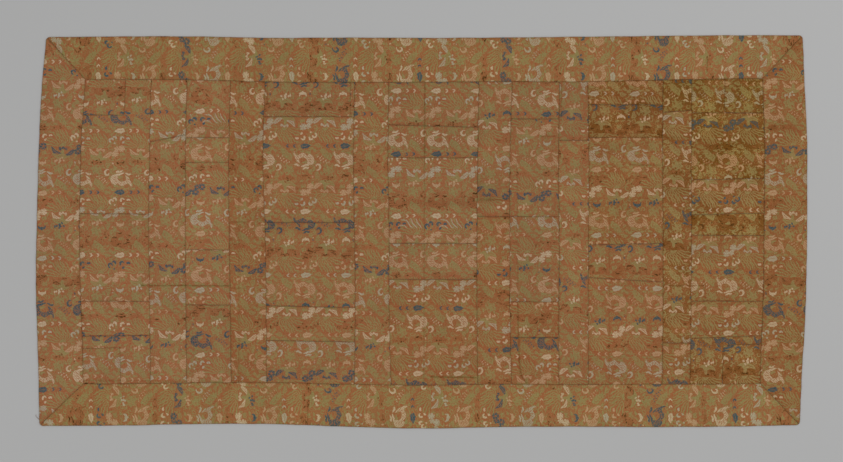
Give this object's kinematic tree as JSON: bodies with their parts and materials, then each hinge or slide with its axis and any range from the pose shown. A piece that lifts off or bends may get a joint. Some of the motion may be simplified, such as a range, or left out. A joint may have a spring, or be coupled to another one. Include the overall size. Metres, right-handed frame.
{
  "type": "brocaded patchwork mantle",
  "caption": "Large flat rectangular mantle of pieced figured silk, with columns of patches, narrow joining strips, corner squares and a mitred border.",
  "frame": {"origin": "middle of the mantle's outline, on the surface that it lies on", "axes": "+X along the long side to the right, +Y up the short side, +Z out of the face of the cloth"},
  "size_m": [2.06, 1.0497, 0.0026],
  "materials": {
    "border_silk": "rust silk twill brocaded in olive, cream, salmon and slate blue, worn",
    "strip_silk": "rust silk twill brocaded in olive, cream, salmon and slate blue, worn",
    "column_silk": "faded rust silk twill with brocaded figures and rotted dark marks",
    "deep_column_silk": "deeper brown rust silk twill with brocaded figures and gold flecks",
    "square_silk": "rust silk twill with brocaded figures"
  },
  "bodies": {
    "root": {"border_bottom": "border_silk", "border_left": "border_silk", "border_right": "border_silk", "border_top": "border_silk", "column_1_a": "column_silk", "column_1_b": "column_silk", "column_1_c": "column_silk", "column_1_d": "column_silk", "column_2_a": "column_silk", "column_2_b": "column_silk", "column_2_c": "column_silk", "column_2_d": "column_silk", "column_2_e": "column_silk", "column_3_a": "column_silk", "column_3_b": "column_silk", "column_3_c": "column_silk", "column_3_d": "column_silk", "column_3_e": "column_silk", "column_4_a": "column_silk", "column_4_b": "column_silk", "column_4_c": "column_silk", "column_4_d": "column_silk", "column_4_e": "column_silk", "column_5_a": "deep_column_silk", "column_5_b": "deep_column_silk", "column_5_c": "deep_column_silk", "column_5_d": "deep_column_silk", "column_5_e": "deep_column_silk", "column_6_a": "deep_column_silk", "column_6_b": "deep_column_silk", "column_6_c": "deep_column_silk", "column_6_d": "deep_column_silk", "column_6_e": "deep_column_silk", "column_7_a": "deep_column_silk", "column_7_b": "deep_column_silk", "column_7_c": "deep_column_silk", "column_7_d": "deep_column_silk", "column_7_e": "deep_column_silk", "column_7_f": "deep_column_silk", "column_7_g": "deep_column_silk", "square_bottom_left": "square_silk", "square_bottom_right": "square_silk", "square_top_left": "square_silk", "square_top_right": "square_silk", "strip_1_a": "strip_silk", "strip_1_b": "strip_silk", "strip_2": "strip_silk", "strip_3": "strip_silk", "strip_4_a": "strip_silk", "strip_4_b": "strip_silk", "strip_5_a": "strip_silk", "strip_5_b": "strip_silk", "strip_6_a": "strip_silk", "strip_6_b": "strip_silk", "strip_6_c": "strip_silk"}
  },
  "joints": []
}
